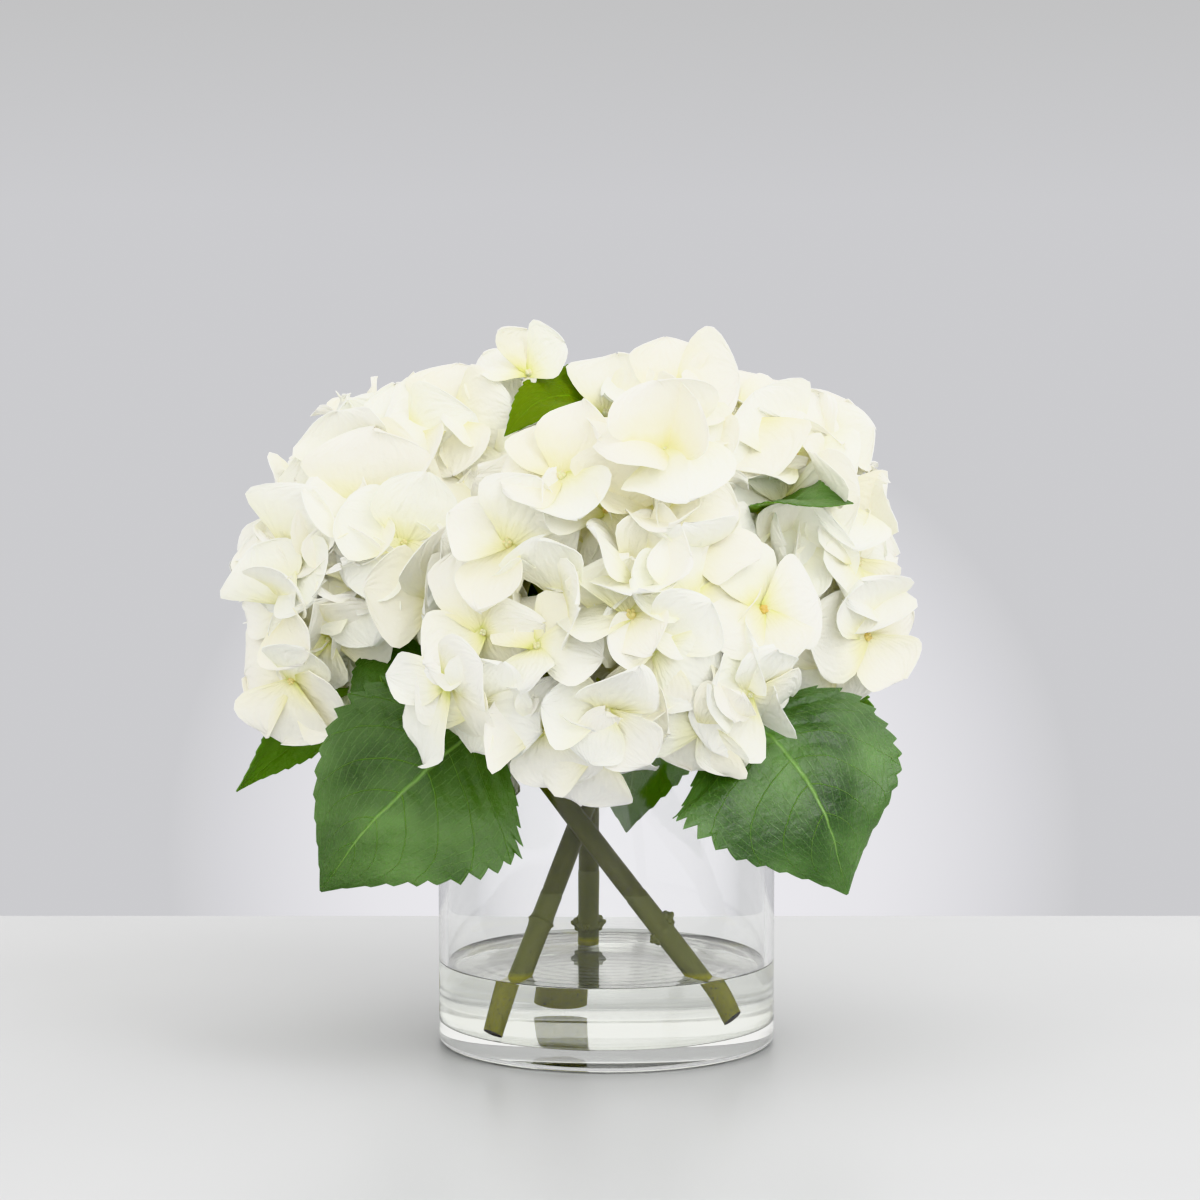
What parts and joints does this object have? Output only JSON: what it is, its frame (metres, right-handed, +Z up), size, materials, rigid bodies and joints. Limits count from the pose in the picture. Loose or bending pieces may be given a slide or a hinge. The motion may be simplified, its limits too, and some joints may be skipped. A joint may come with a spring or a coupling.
{
  "type": "hydrangea centerpiece in glass vase",
  "caption": "Faux floral table centerpiece: cream hydrangea heads and toothed green leaves on crossed stems, in a low clear glass cylinder vase with a shallow layer of clear set water.",
  "frame": {"origin": "centre of the vase's flat underside, at table height", "axes": "+Z up, along the vase's axis; -Y towards the front, as pictured; +X to the viewer's right"},
  "size_m": [0.3135, 0.2526, 0.3214],
  "materials": {
    "glass": "clear polished glass",
    "water": "clear set resin, glossy",
    "stem": "olive green, satin",
    "leaf": "green coated cloth with raised veins",
    "petal": "cream white, soft satin"
  },
  "bodies": {
    "root": {"glass_vase": "glass", "set_water": "water", "stem_left_head": "stem", "stem_right_head": "stem", "stem_front_head": "stem", "leaf_front_left": "leaf", "leaf_front_right": "leaf", "leaf_back_centre": "leaf", "leaf_far_left": "leaf", "leaf_under_left": "leaf", "leaf_top": "leaf", "leaf_right_gap": "leaf", "leaf_mid_gap": "leaf", "leaf_back_left": "leaf", "leaf_back_right": "leaf", "hydrangea_head_left": "petal", "hydrangea_head_right": "petal", "hydrangea_head_front": "petal"}
  },
  "joints": []
}
